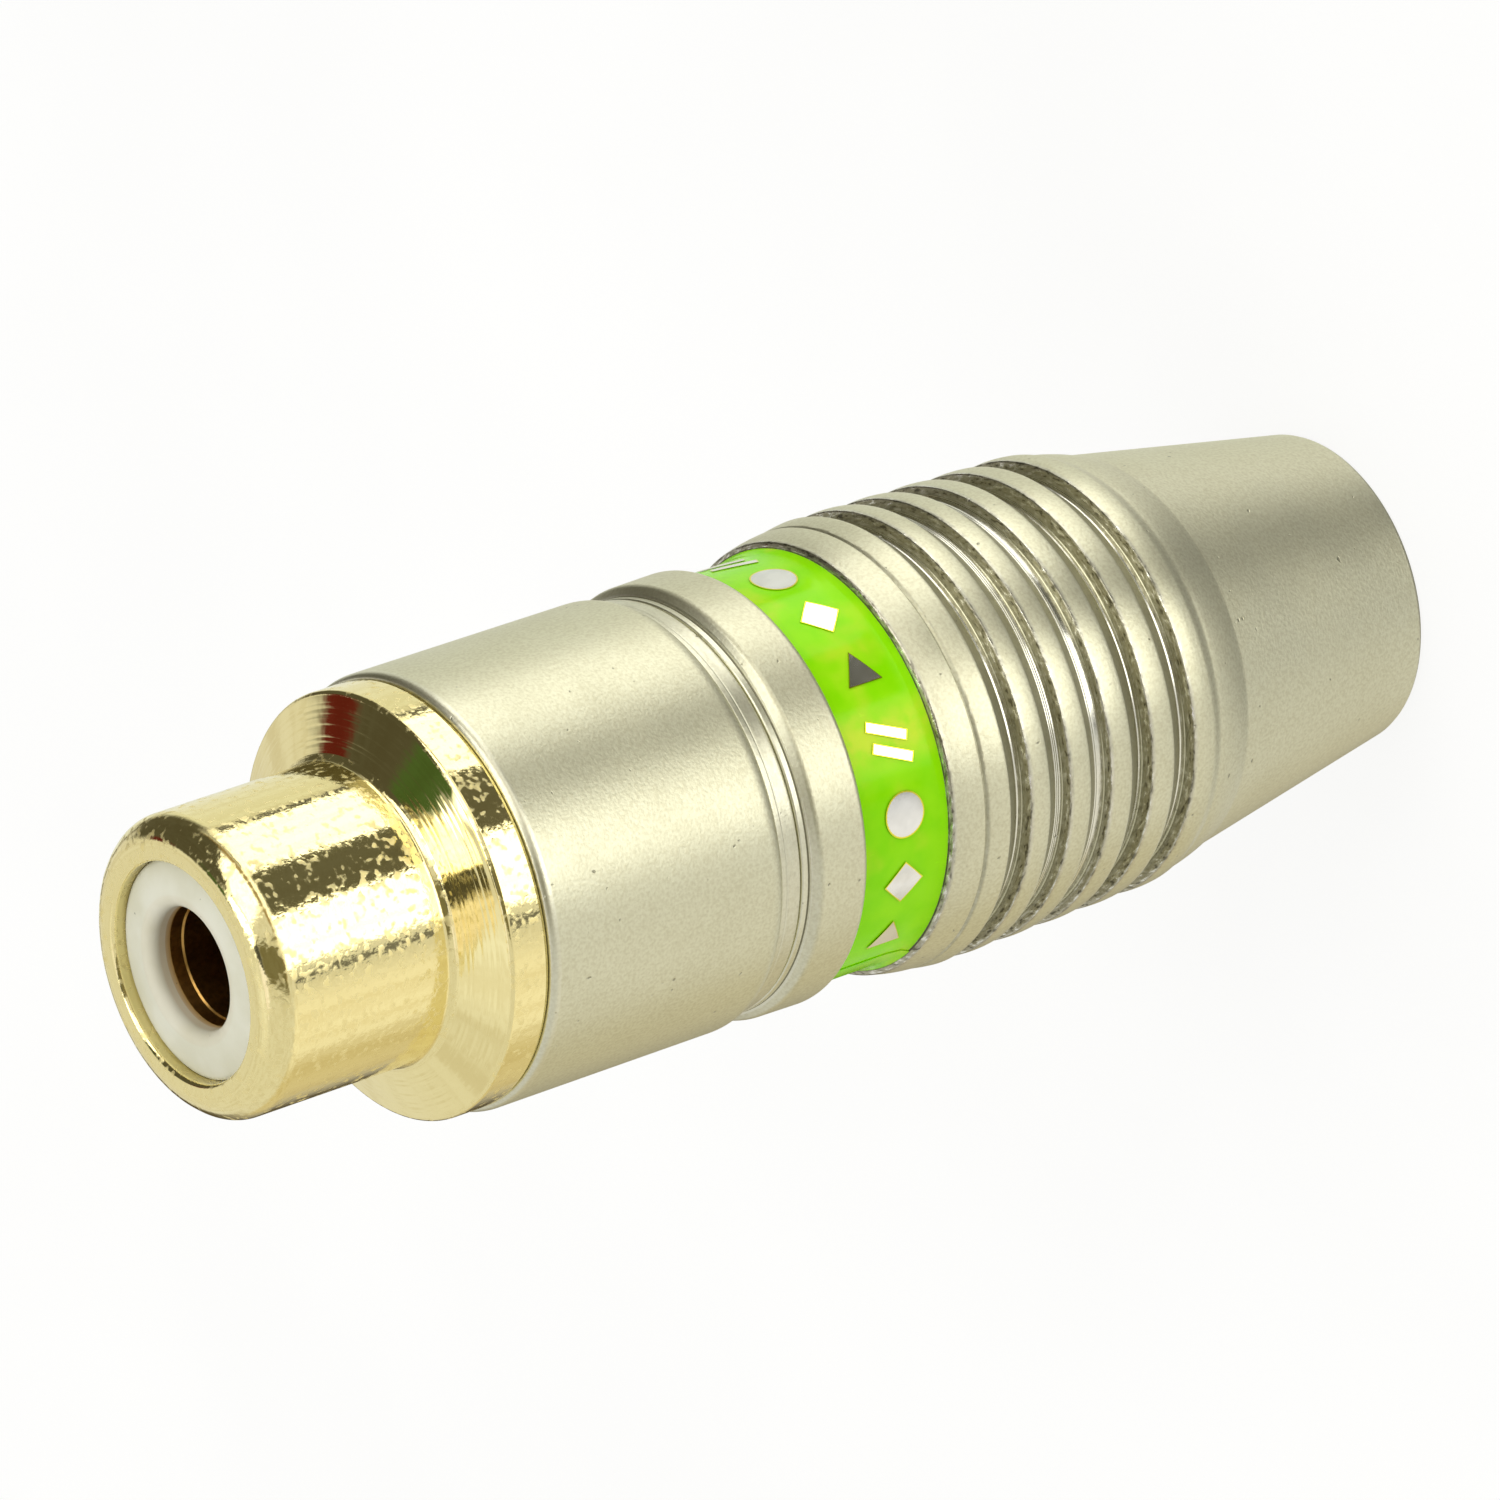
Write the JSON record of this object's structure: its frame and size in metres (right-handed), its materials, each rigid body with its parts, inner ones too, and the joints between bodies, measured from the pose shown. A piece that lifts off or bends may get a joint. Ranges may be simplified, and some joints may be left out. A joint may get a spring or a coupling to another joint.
{
  "type": "in-line phono cable socket",
  "caption": "In-line phono (RCA) cable socket: gold-plated barrel with slotted centre contact, satin nickel sleeve and a ribbed, tapered screw-on rear shell with a colour band.",
  "frame": {"origin": "centre of the tail face that the part stands on", "axes": "+Z along the socket's axis, from the tail to the mouth; +Y is the open side of the cable clamp"},
  "size_m": [0.0126, 0.0126, 0.0388],
  "materials": {
    "satin_nickel": "satin nickel plate on turned brass",
    "gold_plate": "polished pale gold plate on turned brass",
    "lug_brass": "stamped brass sheet with a thin gold flash",
    "ivory_plastic": "turned off-white plastic",
    "milky_plastic": "milky plastic",
    "lime_label": "glossy lime green foil label with silver marks"
  },
  "bodies": {
    "rear_housing": {"rear_shell": "satin_nickel", "colour_band": "lime_label"},
    "liner": {"insulating_sleeve": "milky_plastic"},
    "front_socket": {"socket_body": "gold_plate", "front_sleeve": "satin_nickel", "insulator": "ivory_plastic", "centre_contact": "gold_plate", "contact_washer": "milky_plastic", "ground_lug": "lug_brass"}
  },
  "joints": [
    {"name": "thread_travel", "type": "slide", "parent": "rear_housing", "child": "liner", "axis": [0, 0, 1], "range_m": [0, 0.0045]},
    {"name": "unscrew", "type": "hinge", "parent": "liner", "child": "front_socket", "pos_m": [0, 0, 0.0204], "axis": [0, 0, 1], "range_deg": [0, 2160]}
  ],
  "couplings": [
    {"joint": "unscrew", "follows": "thread_travel", "rad_per_m": 8377.6}
  ]
}
